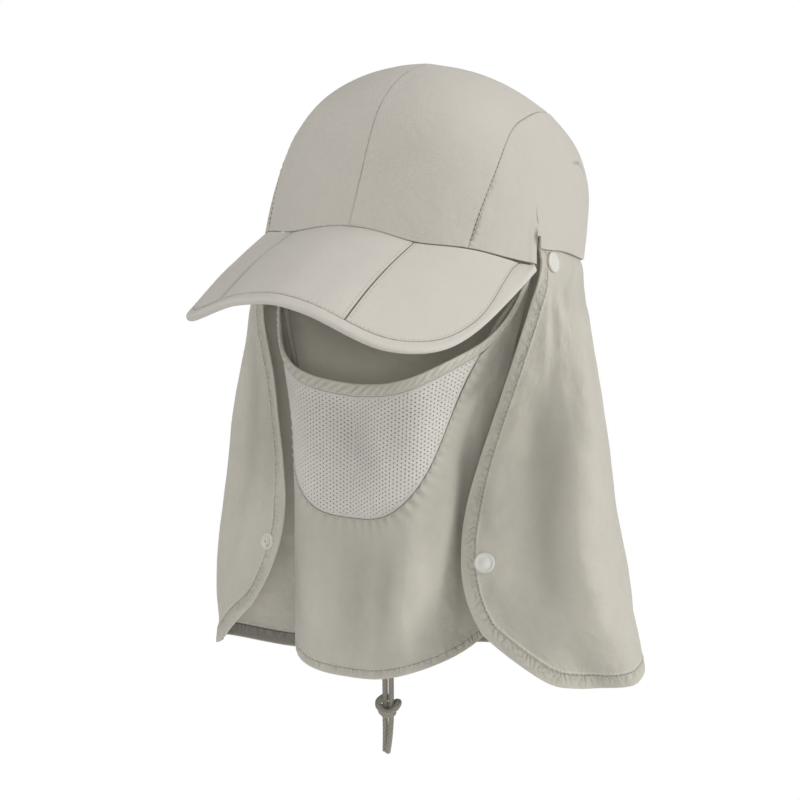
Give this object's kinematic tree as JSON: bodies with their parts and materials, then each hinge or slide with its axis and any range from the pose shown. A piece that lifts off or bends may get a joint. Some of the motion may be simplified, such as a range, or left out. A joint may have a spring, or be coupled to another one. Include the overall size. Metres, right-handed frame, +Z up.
{
  "type": "hiking cap",
  "caption": "Soft sun cap with a wide folding brim, a detachable neck cape, a face veil with a breathing mesh and a knotted chin cord.",
  "frame": {"origin": "centre of the head opening, at the height of the crown's rim at the sides", "axes": "+Z up through the crown, -Y the way the brim points, +X the wearer's left"},
  "size_m": [0.2716, 0.2862, 0.3879],
  "materials": {
    "crown_cloth": "matt woven polyester",
    "brim_cloth": "matt woven polyester over a stiff foam plate",
    "cape_cloth": "matt woven polyester",
    "veil_cloth": "matt woven polyester",
    "veil_mesh": "open knitted mesh",
    "snap_plastic": "satin resin press stud",
    "chin_cord": "braided round cord"
  },
  "bodies": {
    "root": {"crown_front_left": "crown_cloth", "crown_front_right": "crown_cloth", "crown_side_left": "crown_cloth", "crown_side_right": "crown_cloth", "crown_back": "crown_cloth", "brim_panel_center": "brim_cloth", "brim_panel_left": "brim_cloth", "brim_panel_right": "brim_cloth", "brim_edge_band": "brim_cloth", "neck_cape": "cape_cloth", "veil_band": "veil_cloth", "veil_mesh": "veil_mesh", "veil_body": "veil_cloth", "snap_top_left": "snap_plastic", "snap_top_right": "snap_plastic", "snap_cap_left": "snap_plastic", "snap_stud_right": "snap_plastic", "chin_cord_left": "chin_cord", "chin_cord_right": "chin_cord", "cord_tail_left": "chin_cord", "cord_tail_right": "chin_cord", "cord_knot": "chin_cord"}
  },
  "joints": []
}
